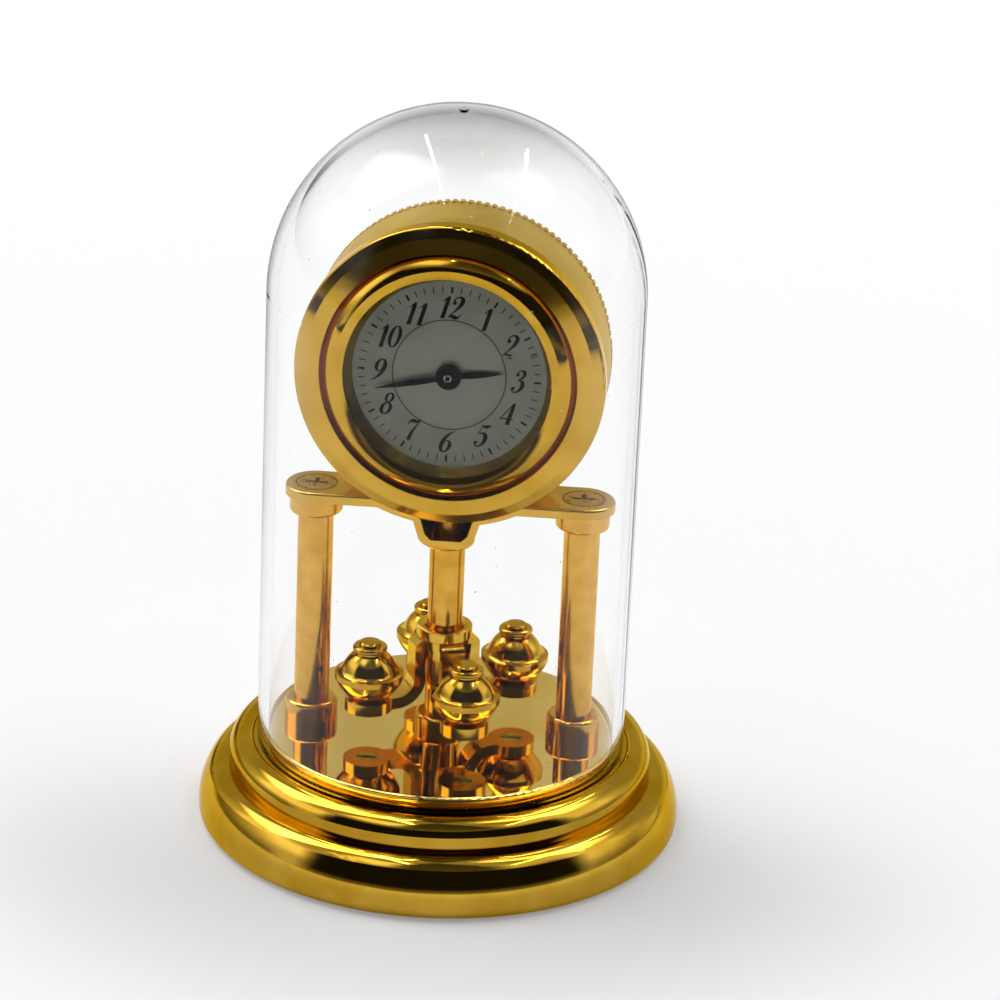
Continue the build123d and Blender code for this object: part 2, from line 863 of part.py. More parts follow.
# Movement block, with pockets open to the rear for the battery, the motor and the circuit board
lid_back = case_back + lid_inset
lid_front = lid_back + lid_thickness
knob_front = lid_back - knob_gap
block_back = lid_front + lid_to_block
block_thickness = plate_back - block_back
battery_height = block_thickness - battery_floor
block_radius = case_bore - block_gap
battery_radius = (block_radius - battery_margin - battery_to_axis) / 2
battery_centre = (0, -battery_to_axis - battery_radius)
coil_length = block_radius - coil_end_margin - coil_to_axis
coil_x = -coil_to_axis - coil_length / 2
coil_y = block_radius - coil_side_margin
board_length = block_radius - board_margin - board_to_axis
board_x = -board_to_axis - board_length / 2
coil_level = block_back + coil_radius + pocket_gap
stator_front = coil_level + stator_thickness / 2
coil_pocket_depth = 2 * (coil_radius + pocket_gap)
rotor_bearing_depth = (block_thickness - coil_pocket_depth) * rotor_bearing_share
rotor_bearing_end = block_back + coil_pocket_depth + rotor_bearing_depth
rotor_place = (rotor_x, coil_y)
stator_left = coil_x + coil_length / 2 - stator_overlap
stator_right = rotor_x + rotor_radius + stator_overlap

with BuildPart() as movement_block:
    disc(block_back, block_thickness, block_radius)
    disc(
        block_back - overrun,
        battery_height + overrun,
        battery_radius + pocket_gap,
        battery_centre,
        Mode.SUBTRACT,
    )
    disc(
        block_back - overrun,
        block_thickness + 2 * overrun,
        knob_shaft_radius + running_fit,
        setting_place,
        Mode.SUBTRACT,
    )
    disc(
        block_back - overrun,
        coil_pocket_depth + overrun,
        rotor_radius + pocket_gap,
        rotor_place,
        Mode.SUBTRACT,
    )
    disc(
        block_back,
        rotor_bearing_end - block_back,
        rotor_shaft_radius + running_fit,
        rotor_place,
        Mode.SUBTRACT,
    )
    with BuildSketch(face_plane.offset(block_back - overrun)):
        with Locations((coil_x, coil_y)):
            Rectangle(coil_length + 2 * pocket_gap, 2 * (coil_radius + pocket_gap))
    extrude(amount=coil_pocket_depth + overrun, mode=Mode.SUBTRACT)
    with BuildSketch(face_plane.offset(block_back - overrun)):
        with Locations(((stator_left + stator_right) / 2, coil_y)):
            Rectangle(stator_right - stator_left + 2 * pocket_gap, stator_width + 2 * pocket_gap)
    extrude(amount=stator_front - block_back + overrun, mode=Mode.SUBTRACT)
    with BuildSketch(face_plane.offset(block_back - overrun)):
        with Locations((board_x, board_y)):
            Rectangle(board_length + 2 * pocket_gap, board_width + 2 * pocket_gap)
    extrude(amount=board_thickness + pocket_gap + overrun, mode=Mode.SUBTRACT)
save(movement_block, "movement_block")

# Button cell and the spring strap that spans its pocket
with BuildPart() as battery:
    disc(block_back, battery_height, battery_radius, battery_centre)
    fillet(battery.edges().filter_by(GeomType.CIRCLE).sort_by(case_axis)[-1], radius=pocket_gap)
save(battery, "battery")

with BuildPart() as battery_strap:
    with BuildSketch(face_plane.offset(block_back)):
        with Locations(battery_centre):
            Rectangle(2 * (battery_radius + strap_overhang), strap_width)
    extrude(amount=-strap_thickness)
save(battery_strap, "battery_strap")

# Stepping motor: coil, stator and rotor, and the circuit board
with BuildPart() as coil:
    coil_left = face_plane.from_local_coords((coil_x - coil_length / 2, coil_y, coil_level))
    with BuildSketch(Plane(origin=coil_left, x_dir=(0, 0, 1), z_dir=case_right)):
        Circle(coil_radius)
    extrude(amount=coil_length)
    with BuildSketch(face_plane.offset(coil_level - stator_thickness / 2)):
        with Locations((stator_left, coil_y)):
            Rectangle(
                stator_overlap + pocket_gap,
                stator_width / 2 + pocket_gap,
                align=(Align.MIN, Align.CENTER),
            )
    extrude(amount=stator_thickness, mode=Mode.SUBTRACT)
save(coil, "coil")

with BuildPart() as stator:
    with BuildSketch(face_plane.offset(coil_level - stator_thickness / 2)):
        with Locations((stator_left, coil_y)):
            Rectangle(stator_overlap, stator_width / 2, align=(Align.MIN, Align.CENTER))
        with Locations((coil_x + coil_length / 2 + pocket_gap, coil_y)):
            Rectangle(
                stator_right - coil_x - coil_length / 2 - pocket_gap,
                stator_width,
                align=(Align.MIN, Align.CENTER),
            )
        with Locations((stator_left, coil_y)):
            Rectangle(2 * stator_overlap, stator_width / 2, align=(Align.MIN, Align.CENTER))
        with Locations(rotor_place):
            Circle(rotor_radius + pocket_gap, mode=Mode.SUBTRACT)
    extrude(amount=stator_thickness)
save(stator, "stator")

with BuildPart() as rotor:
    rotor_shaft_start = lid_front + knob_gap
    rotor_shaft_length = rotor_bearing_end - knob_gap - rotor_shaft_start
    disc(coil_level - rotor_height / 2, rotor_height, rotor_radius, rotor_place)
    disc(rotor_shaft_start, rotor_shaft_length, rotor_shaft_radius, rotor_place)
save(rotor, "rotor")

with BuildPart() as circuit_board:
    with BuildSketch(face_plane.offset(block_back + pocket_gap)):
        with Locations((board_x, board_y)):
            Rectangle(board_length, board_width)
    extrude(amount=board_thickness)
save(circuit_board, "circuit_board")

# Rear lid with a pry notch, and the knob that sets the hands through it
with BuildPart() as back_cover:
    disc(lid_back, lid_thickness, case_bore - lid_fit)
    disc(
        lid_back - overrun,
        lid_thickness + 2 * overrun,
        knob_shaft_radius + running_fit,
        setting_place,
        Mode.SUBTRACT,
    )
    with BuildSketch(face_plane.offset(lid_back)):
        with Locations((0, case_bore)):
            Rectangle(pry_width, 2 * pry_depth)
    extrude(amount=lid_thickness / 2, mode=Mode.SUBTRACT)
save(back_cover, "back_cover")

with BuildPart() as setting_knob:
    disc(knob_front - knob_height, knob_height, knob_radius, setting_place)
    with BuildSketch(face_plane.offset(knob_front - knob_height)):
        with Locations(setting_place):
            with PolarLocations(knob_radius, knob_grip_count):
                Circle(knob_grip_depth)
    extrude(amount=knob_height, mode=Mode.SUBTRACT)
    disc(knob_front, minute_wheel_front - knob_front, knob_shaft_radius, setting_place)
save(setting_knob, "setting_knob")

with BuildPart() as setting_pinion:
    gear(
        minute_wheel_back,
        wheel_thickness,
        cannon_teeth,
        minute_module,
        setting_place,
        setting_angle + 180 + 180 / cannon_teeth,
    )
    disc(
        minute_wheel_back - overrun,
        wheel_thickness + 2 * overrun,
        knob_shaft_radius,
        setting_place,
        Mode.SUBTRACT,
    )
save(setting_pinion, "setting_pinion")

# Pendulum hub over the spider, both round the centre column
spider_top = spider_bottom + spider_thickness
hub_bore = column_radius + pendulum_fit
hub_top = spider_top + hub_height

with BuildPart() as pendulum_hub:
    with BuildSketch(Plane.XY.offset(spider_top)):
        Circle(hub_radius)
    extrude(amount=hub_height)
    fillet(pendulum_hub.edges().filter_by(GeomType.CIRCLE), radius=hub_round)
    with Locations((0, 0, hub_top)):
        Hole(radius=hub_bore)
    top_circles = pendulum_hub.edges().filter_by(GeomType.CIRCLE).group_by(Axis.Z)[-1]
    top_bore = top_circles.sort_by(SortBy.RADIUS)[0]
    chamfer(top_bore, length=countersink_depth, length2=countersink_width)
save(pendulum_hub, "pendulum_hub")

# Spider: each arm rounds over the hub's edge, drops and sweeps out to its end disc
disc_bottom = plate_top + disc_clearance
disc_top = disc_bottom + disc_height
arm_inner_radius = arm_outer_radius - spider_thickness
bend_centre_r = arm_outer_radius + arm_bend_radius
bend_centre_z = disc_top + arm_bend_radius
bend_inner = arm_bend_radius + disc_height
ball_places = [
    (disc_circle_radius * cos(radians(angle)), disc_circle_radius * sin(radians(angle)))
    for angle in arm_angles
]

with BuildPart() as pendulum_spider:
    for angle in arm_angles:
        arm_plane = Plane(
            origin=(0, 0, 0),
            x_dir=(cos(radians(angle)), sin(radians(angle)), 0),
            z_dir=(sin(radians(angle)), -cos(radians(angle)), 0),
        )
        with BuildSketch(arm_plane):
            with BuildLine():
                shoulder_r = arm_outer_radius - shoulder_radius
                shoulder_z = spider_top - shoulder_radius
                Line((0, spider_top), (shoulder_r, spider_top))
                ThreePointArc(
                    (shoulder_r, spider_top),
                    (shoulder_r + shoulder_radius * slant, shoulder_z + shoulder_radius * slant),
                    (arm_outer_radius, shoulder_z),
                )
                Line((arm_outer_radius, shoulder_z), (arm_outer_radius, bend_centre_z))
                ThreePointArc(
                    (arm_outer_radius, bend_centre_z),
                    (bend_centre_r - arm_bend_radius * slant, bend_centre_z - arm_bend_radius * slant),
                    (bend_centre_r, disc_top),
                )
                Polyline(
                    (bend_centre_r, disc_top),
                    (disc_circle_radius, disc_top),
                    (disc_circle_radius, disc_bottom),
                    (bend_centre_r, disc_bottom),
                )
                ThreePointArc(
                    (bend_centre_r, disc_bottom),
                    (bend_centre_r - bend_inner * slant, bend_centre_z - bend_inner * slant),
                    (bend_centre_r - bend_inner, bend_centre_z),
                )
                Polyline(
                    (bend_centre_r - bend_inner, bend_centre_z),
                    (arm_inner_radius, spider_bottom),
                    (0, spider_bottom),
                    (0, spider_top),
                )
            make_face()
        extrude(amount=arm_width / 2, both=True)
    with BuildSketch(Plane.XY.offset(disc_bottom)):
        with Locations(*ball_places):
            Circle(disc_radius)
    extrude(amount=disc_height)
    with BuildSketch(Plane.XY.offset(spider_bottom)):
        Circle(arm_inner_radius)
    extrude(amount=spider_thickness)
    with BuildSketch(Plane.XY.offset(spider_bottom - overrun)):
        Circle(hub_bore)
    extrude(amount=spider_thickness + 2 * overrun, mode=Mode.SUBTRACT)
    with BuildSketch(Plane.XY.offset(disc_bottom)):
        with Locations(*ball_places):
            Circle(ball_screw_radius + screw_fit)
    extrude(amount=disc_height, mode=Mode.SUBTRACT)
    with BuildSketch(Plane.XY.offset(disc_bottom)):
        with Locations(*ball_places):
            Circle(ball_screw_head_radius + screw_fit)
    extrude(amount=ball_screw_head_height, mode=Mode.SUBTRACT)
save(pendulum_spider, "pendulum_spider")

# The four balls: lower bells, upper domes, knobs and the screws that hold them
bell_top = disc_top + bell_height
ball_dome_top = bell_top + ball_dome_height
screw_tip = disc_bottom + ball_screw_head_height + ball_screw_length


def ball_planes():
    return [Plane(origin=(x, y, 0), x_dir=(1, 0, 0), z_dir=(0, -1, 0)) for x, y in ball_places]


def ball_axis(plane):
    return Axis(plane.origin, (0, 0, 1))


with BuildPart() as pendulum_bells:
    for plane in ball_planes():
        with BuildSketch(plane):
            with BuildLine():
                hole = ball_screw_radius + screw_fit
                lip_bottom = bell_top - lip_thickness
                Line((hole, disc_top), (bell_foot_radius, disc_top))
                ThreePointArc(
                    (bell_foot_radius, disc_top),
                    (bell_waist_radius, disc_top + bell_waist_height),
                    (lip_outer_radius, lip_bottom),
                )
                Polyline(
                    (lip_outer_radius, lip_bottom),
                    (lip_outer_radius, bell_top),
                    (0, bell_top),
                    (0, screw_tip + tip_gap),
                    (hole, screw_tip + tip_gap),
                    (hole, disc_top),
                )
            make_face()
        revolve(axis=ball_axis(plane))
save(pendulum_bells, "pendulum_bells")

with BuildPart() as pendulum_domes:
    for plane in ball_planes():
        with BuildSketch(plane):
            with BuildLine():
                lip_top = bell_top + lip_thickness
                Polyline((0, bell_top), (lip_outer_radius, bell_top), (lip_outer_radius, lip_top))
                ThreePointArc(
                    (lip_outer_radius, lip_top),
                    (ball_flare_radius, bell_top + ball_flare_height),
                    (ball_waist_radius, bell_top + ball_waist_height),
                )
                ThreePointArc(
                    (ball_waist_radius, bell_top + ball_waist_height),
                    (ball_shoulder_radius, bell_top + ball_shoulder_height),
                    (ball_dome_top_radius, ball_dome_top),
                )
                Polyline((ball_dome_top_radius, ball_dome_top), (0, ball_dome_top), (0, bell_top))
            make_face()
        revolve(axis=ball_axis(plane))
save(pendulum_domes, "pendulum_domes")

with BuildPart() as pendulum_knobs:
    ring_bottom = ball_dome_top + ball_neck_height
    ring_top = ring_bottom + ball_ring_height
    knob_top = ring_top + ball_knob_height
    for plane in ball_planes():
        with BuildSketch(plane):
            with BuildLine():
                Polyline(
                    (0, ball_dome_top),
                    (ball_neck_radius, ball_dome_top),
                    (ball_neck_radius, ring_bottom),
                )
                ThreePointArc(
                    (ball_neck_radius, ring_bottom),
                    (ball_ring_radius, ring_bottom + ball_ring_height / 2),
                    (ball_neck_radius, ring_top),
                )
                Polyline(
                    (ball_neck_radius, ring_top),
                    (ball_knob_radius, ring_top),
                    (ball_knob_radius, knob_top - ball_knob_round),
                    (ball_knob_radius - ball_knob_round, knob_top),
                    (0, knob_top),
                    (0, ball_dome_top),
                )
            make_face()
        revolve(axis=ball_axis(plane))
save(pendulum_knobs, "pendulum_knobs")

with BuildPart() as pendulum_screws:
    with BuildSketch(Plane.XY.offset(disc_bottom)):
        with Locations(*ball_places):
            Circle(ball_screw_head_radius)
    extrude(amount=ball_screw_head_height)
    with BuildSketch(Plane.XY.offset(disc_bottom)):
        with Locations(*ball_places):
            Circle(ball_screw_radius)
    extrude(amount=ball_screw_head_height + ball_screw_length)
    with BuildSketch(Plane.XY.offset(disc_bottom)):
        with Locations(*ball_places):
            Rectangle(2 * ball_screw_head_radius + overrun, slot_width)
    extrude(amount=slot_depth, mode=Mode.SUBTRACT)
save(pendulum_screws, "pendulum_screws")
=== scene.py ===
import json
import math

import bmesh
import bpy
from mathutils import Matrix, Vector


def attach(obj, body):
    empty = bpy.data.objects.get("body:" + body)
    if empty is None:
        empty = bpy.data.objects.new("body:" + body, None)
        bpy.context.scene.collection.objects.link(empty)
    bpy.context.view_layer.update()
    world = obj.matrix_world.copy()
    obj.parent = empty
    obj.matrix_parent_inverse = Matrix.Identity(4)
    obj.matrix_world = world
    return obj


# Miniature pendulum clock under a clear dome: finishes, dial printing, floor, lights and camera.
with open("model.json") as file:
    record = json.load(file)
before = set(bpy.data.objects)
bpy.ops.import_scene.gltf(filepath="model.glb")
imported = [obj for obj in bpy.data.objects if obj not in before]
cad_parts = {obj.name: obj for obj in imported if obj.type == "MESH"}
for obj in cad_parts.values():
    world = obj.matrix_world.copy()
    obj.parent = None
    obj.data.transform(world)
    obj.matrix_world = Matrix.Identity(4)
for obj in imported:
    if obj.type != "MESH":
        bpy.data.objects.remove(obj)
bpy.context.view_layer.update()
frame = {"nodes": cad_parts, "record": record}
nodes = frame["nodes"]
mm = 0.001
print("frame loaded:", len(nodes), "nodes")

# Where the drum stands, so that the printing follows its small turn on the bridge
drum = {"middle": (0.0, 0.0, 40.84), "turn": -4.1, "dialFront": 2.8}
turn = math.radians(drum["turn"])
drumMiddle = Vector(drum["middle"]) * mm
drumRight = Vector((math.cos(turn), math.sin(turn), 0))
drumForward = Vector((math.sin(turn), -math.cos(turn), 0))
drumUp = Vector((0, 0, 1))


def onDial(x, y, lift):
    # x to the right and y up on the dial, lift towards the viewer, all in millimetres
    return drumMiddle + (drumRight * x + drumUp * y + drumForward * (drum["dialFront"] + lift)) * mm


def frontOf(name):
    # how far a piece reaches in front of the dial, in millimetres
    reach = max((v.co - drumMiddle).dot(drumForward) for v in nodes[name].data.vertices)
    return reach / mm - drum["dialFront"]


# Detail and roughness of each noise, the span of it in which tones change, and what all dust shares
noiseLook = {
    "cloud": (3, 0.55), "grain": (4, 0.6), "wave": (1, 0.4), "smear": (3, 0.6), "soft": (3, 0.5),
    "span": (0.3, 0.7), "turning": 0.25,
}
dustLook = {"radius": 0.22, "core": 0.5, "cover": 0.7, "rough": 0.3}


class Wire:
    # one output of a node; sums written with it add Math nodes
    def __init__(self, sheet, socket):
        self.sheet = sheet
        self.socket = socket

    def output(self, key):
        # another output of the same node
        return Wire(self.sheet, self.socket.node.outputs[key])

    def sum(self, operation, first, second):
        return self.sheet.node("ShaderNodeMath", {"operation": operation}, {0: first, 1: second})

    def __add__(self, other):
        return self.sum("ADD", self, other)

    def __radd__(self, other):
        return self.sum("ADD", other, self)

    def __sub__(self, other):
        return self.sum("SUBTRACT", self, other)

    def __rsub__(self, other):
        return self.sum("SUBTRACT", other, self)

    def __mul__(self, other):
        return self.sum("MULTIPLY", self, other)

    def __gt__(self, other):
        return self.sum("GREATER_THAN", self, other)

    def __lt__(self, other):
        return self.sum("LESS_THAN", self, other)


class Sheet:
    # the nodes of one material or of the room's light
    def __init__(self, owner):
        owner.use_nodes = True
        self.owner = owner
        self.tree = owner.node_tree
        self.tree.nodes.clear()

    def node(self, kind, settings=None, sockets=None, out=0):
        made = self.tree.nodes.new(kind)
        for key, value in (settings or {}).items():
            setattr(made, key, value)
        for key, value in (sockets or {}).items():
            if isinstance(value, Wire):
                self.tree.links.new(value.socket, made.inputs[key])
            else:
                made.inputs[key].default_value = value
        return Wire(self, made.outputs[out]) if len(made.outputs) else made

    def spot(self):
        # the place on the piece in millimetres, which moves with the piece
        place = self.node("ShaderNodeTexCoord", out="Object")
        return self.vector("SCALE", place, scale=1 / mm)

    def vector(self, operation, first, second=None, scale=None, out=0):
        sockets = {0: first}
        if second is not None:
            sockets[1] = second
        if scale is not None:
            sockets["Scale"] = scale
        return self.node("ShaderNodeVectorMath", {"operation": operation}, sockets, out)

    def parts(self, wire):
        split = self.node("ShaderNodeSeparateXYZ", None, {0: wire})
        return [split.output(i) for i in range(3)]

    def join(self, x, y, z):
        return self.node("ShaderNodeCombineXYZ", None, {0: x, 1: y, 2: z})

    def noise(self, place, size, detail, rough):
        sockets = {"Vector": place, "Scale": 1 / size, "Detail": detail, "Roughness": rough}
        return self.node("ShaderNodeTexNoise", {"noise_dimensions": "3D"}, sockets)

    def blend(self, factor, first, second):
        settings = {"data_type": "RGBA", "blend_type": "MIX", "clamp_factor": True}
        return self.node("ShaderNodeMix", settings, {0: factor, 6: first, 7: second}, out=2)

    def ramp(self, value, low, high, start=0.0, end=1.0):
        # a soft step from start to end as the value goes from low to high
        settings = {"interpolation_type": "SMOOTHSTEP", "clamp": True}
        return self.node("ShaderNodeMapRange", settings, {0: value, 1: low, 2: high, 3: start, 4: end})

    def window(self, value, low, high, soft):
        return self.ramp(value, low - soft, low + soft) * self.ramp(value, high - soft, high + soft, 1.0, 0.0)

    def specks(self, place, size, radius, share):
        # sparse round specks: only some cells of the pattern hold one
        settings = {"voronoi_dimensions": "3D", "feature": "F1"}
        cells = self.node("ShaderNodeTexVoronoi", settings, {"Vector": place, "Scale": 1 / size}, "Distance")
        pick = self.parts(cells.output("Color"))[0]
        return self.ramp(cells, radius * dustLook["core"], radius, 1.0, 0.0) * (pick < share)

    def rings(self, place, centre, axis):
        # a place that runs round an axis, for marks left by turning
        lead = Vector(axis).normalized()
        side = lead.orthogonal().normalized()
        third = lead.cross(side)
        inner = self.vector("SUBTRACT", place, tuple(centre))
        along = self.vector("DOT_PRODUCT", inner, tuple(lead), out="Value")
        across = self.vector("DOT_PRODUCT", inner, tuple(side), out="Value")
        over = self.vector("DOT_PRODUCT", inner, tuple(third), out="Value")
        wide = self.node("ShaderNodeMath", {"operation": "SQRT"}, {0: across * across + over * over})
        angle = self.node("ShaderNodeMath", {"operation": "ARCTAN2"}, {0: across, 1: over})
        return self.join(wide, along, angle * noiseLook["turning"])

    def bump(self, height, depth, under=None):
        sockets = {"Strength": 1.0, "Distance": depth * mm, "Height": height}
        if under is not None:
            sockets["Normal"] = under
        return self.node("ShaderNodeBump", None, sockets)

    def finish(self, shader):
        self.node("ShaderNodeOutputMaterial", None, {"Surface": shader})
        return self.owner


def solidFinish(name, look, about=None):
    # every opaque finish: clouded colour, fine grain, soft waves, dust
    sheet = Sheet(bpy.data.materials.new(name))
    spot = sheet.spot()
    cloud = sheet.noise(spot, look["cloud"], *noiseLook["cloud"])
    if about:
        grainSpot = sheet.rings(spot, *about)
    else:
        grainSpot = sheet.vector("MULTIPLY", spot, look.get("stretch", (1, 1, 1)))
    grain = sheet.noise(grainSpot, look["grain"], *noiseLook["grain"])
    waves = sheet.noise(spot, look["wave"], *noiseLook["wave"])
    colour = sheet.blend(sheet.ramp(cloud, *noiseLook["span"]), look["shade"], look["light"])
    dust = sheet.specks(spot, look["dustCell"], dustLook["radius"], look["dustShare"])
    colour = sheet.blend(dust * dustLook["cover"], colour, look["dust"])
    rough = look["rough"] + (grain - 0.5) * look["roughGrain"] + (cloud - 0.5) * look["roughCloud"]
    rough = rough + dust * dustLook["rough"]
    normal = sheet.bump(waves, look["waveDepth"])
    normal = sheet.bump(grain, look["grainDepth"], normal)
    shader = sheet.node(
        "ShaderNodeBsdfPrincipled",
        None,
        {
            "Base Color": colour,
            "Metallic": look["metal"],
            "Roughness": rough,
            "Coat Weight": look["coat"],
            "Coat Roughness": look["coatRough"],
            "Specular Tint": look["edge"],
            "Normal": normal,
        },
    )
    return sheet.finish(shader)


def clearFinish(name, look):
    # clear wall, tinted greyer towards its crown as painted shade, with fingermarks and dust; shadow rays
    # pass through it
    sheet = Sheet(bpy.data.materials.new(name))
    spot = sheet.spot()
    smear = sheet.ramp(sheet.noise(spot, look["smear"], *noiseLook["smear"]), *look["smearSpan"])
    waves = sheet.noise(spot, look["wave"], *noiseLook["wave"])
    rough = look["rough"] + smear * look["roughSmear"]
    # Painted shade: the wall is tinted grey towards its crown, standing for the dark room it shows there
    crownShadeMask = sheet.ramp(sheet.parts(spot)[2], *look["crownLevels"])
    glass = sheet.node(
        "ShaderNodeBsdfPrincipled",
        None,
        {
            "Base Color": sheet.blend(crownShadeMask, look["colour"], look["crownPaintedShade"]),
            "Roughness": rough,
            "IOR": look["ior"],
            "Specular Tint": look["mirror"],
            "Transmission Weight": 1.0,
            "Normal": sheet.bump(waves, look["waveDepth"]),
        },
    )
    dustDots = sheet.specks(spot, look["dustCell"], look["dustRadius"], look["dustShare"])
    dust = sheet.node("ShaderNodeBsdfDiffuse", None, {"Color": look["dust"]})
    dusty = sheet.node("ShaderNodeMixShader", None, {0: dustDots * look["dustCover"], 1: glass, 2: dust})
    passing = sheet.node("ShaderNodeBsdfTransparent", None, {"Color": look["shadow"]})
    shadowRay = sheet.node("ShaderNodeLightPath", out="Is Shadow Ray")
    return sheet.finish(sheet.node("ShaderNodeMixShader", None, {0: shadowRay, 1: dusty, 2: passing}))


def dialFinish(name, look):
    # silver dial: satin metal, with a painted lighter sheen round its middle and a thin darker ring close
    # round the centre
    sheet = Sheet(bpy.data.materials.new(name))
    spot = sheet.spot()
    ringed = sheet.rings(spot, drumMiddle / mm, drumForward)
    wide = sheet.parts(ringed)[0]
    grain = sheet.noise(ringed, look["grain"], *noiseLook["grain"])
    cloud = sheet.noise(spot, look["cloud"], *noiseLook["soft"])
    colour = sheet.blend(sheet.ramp(cloud, *noiseLook["span"]), look["shade"], look["light"])
    # Painted sheen: a lighter band of colour round the middle of the dial
    paintedSheen = sheet.window(wide, *look["paintedSheenBand"])
    colour = sheet.blend(paintedSheen * look["paintedSheen"], colour, look["paintedSheenColour"])
    # A thin ring of the dial colour made darker, close round the centre
    darkerRing = sheet.window(wide, *look["darkerRingBand"])
    colour = sheet.blend(darkerRing * look["darkerRing"], colour, look["shade"])
    rough = look["rough"] + (grain - 0.5) * look["roughGrain"] + (cloud - 0.5) * look["roughCloud"]
    shader = sheet.node(
        "ShaderNodeBsdfPrincipled",
        None,
        {
            "Base Color": colour,
            "Metallic": look["metal"],
            "Roughness": rough,
            "Normal": sheet.bump(grain, look["grainDepth"]),
        },
    )
    return sheet.finish(shader)


# Finishes of the metal: colours are linear, lengths in millimetres
plateLook = {
    "shade": (0.50, 0.28, 0.018, 1), "light": (0.61, 0.37, 0.040, 1), "dust": (0.55, 0.5, 0.4, 1),
    "cloud": 5.0, "grain": 0.06, "wave": 2.2, "rough": 0.075, "roughGrain": 0.05, "roughCloud": 0.05,
    "waveDepth": 0.004, "grainDepth": 0.00025, "dustCell": 0.9, "dustShare": 0.03,
    "metal": 1.0, "coat": 0.05, "coatRough": 0.05, "edge": (0.98, 0.80, 0.40, 1),
}


def likePlate(**changes):
    return {**plateLook, **changes}


def likeDull(**changes):
    return likePlate(**{"edge": (1, 1, 1, 1), **changes})


upright = ((0, 0, 0), (0, 0, 1))
drumTurning = (tuple(drumMiddle / mm), tuple(drumForward))

baseGold = solidFinish("baseGold", likePlate(), upright)
mirrorGold = solidFinish(
    "mirrorGold",
    likePlate(
        shade=(0.90, 0.62, 0.14, 1), light=(0.94, 0.70, 0.22, 1), rough=0.03, roughGrain=0.02,
        roughCloud=0.02, waveDepth=0.0015, grainDepth=0.0001, coat=0.0,
    ),
)
pillarGold = solidFinish(
    "pillarGold",
    likePlate(
        shade=(0.60, 0.31, 0.022, 1), light=(0.72, 0.41, 0.06, 1), cloud=1.8, grain=0.16,
        stretch=(1, 1, 0.12), rough=0.17, roughGrain=0.16, waveDepth=0.006, grainDepth=0.0015,
    ),
)
bridgeGold = solidFinish(
    "bridgeGold",
    likePlate(
        shade=(0.54, 0.30, 0.025, 1), light=(0.66, 0.40, 0.06, 1), grain=0.22, rough=0.15,
        roughGrain=0.12, waveDepth=0.008, grainDepth=0.0015,
    ),
)
screwGold = solidFinish(
    "screwGold",
    likePlate(
        shade=(0.36, 0.165, 0.018, 1), light=(0.50, 0.27, 0.04, 1), cloud=0.6, grain=0.12, rough=0.28,
        roughGrain=0.15, grainDepth=0.003,
    ),
)
bezelGold = solidFinish("bezelGold", likePlate(rough=0.06), drumTurning)
# The inner ring's gold is a greener gold, also painted darker as shade in its recess inside the bezel
rehautGoldPaintedDark = solidFinish(
    "rehautGoldPaintedDark",
    likePlate(shade=(0.36, 0.235, 0.035, 1), light=(0.44, 0.295, 0.055, 1), rough=0.10),
    drumTurning,
)
drumGold = solidFinish(
    "drumGold",
    likePlate(
        shade=(0.52, 0.355, 0.10, 1), light=(0.60, 0.425, 0.14, 1), cloud=4.0, grain=0.07, rough=0.36,
        roughGrain=0.12, waveDepth=0.004, grainDepth=0.004, coat=0.0,
    ),
    drumTurning,
)
ballGold = solidFinish(
    "ballGold",
    likePlate(
        cloud=1.4, grain=0.2, wave=1.1, rough=0.09, roughGrain=0.06, waveDepth=0.006, grainDepth=0.0008,
    ),
)
spiderGold = solidFinish(
    "spiderGold",
    likePlate(
        shade=(0.66, 0.38, 0.035, 1), light=(0.78, 0.48, 0.06, 1), cloud=1.2, grain=0.2, wave=0.9,
        rough=0.13, roughGrain=0.1, waveDepth=0.008, grainDepth=0.0015,
    ),
)

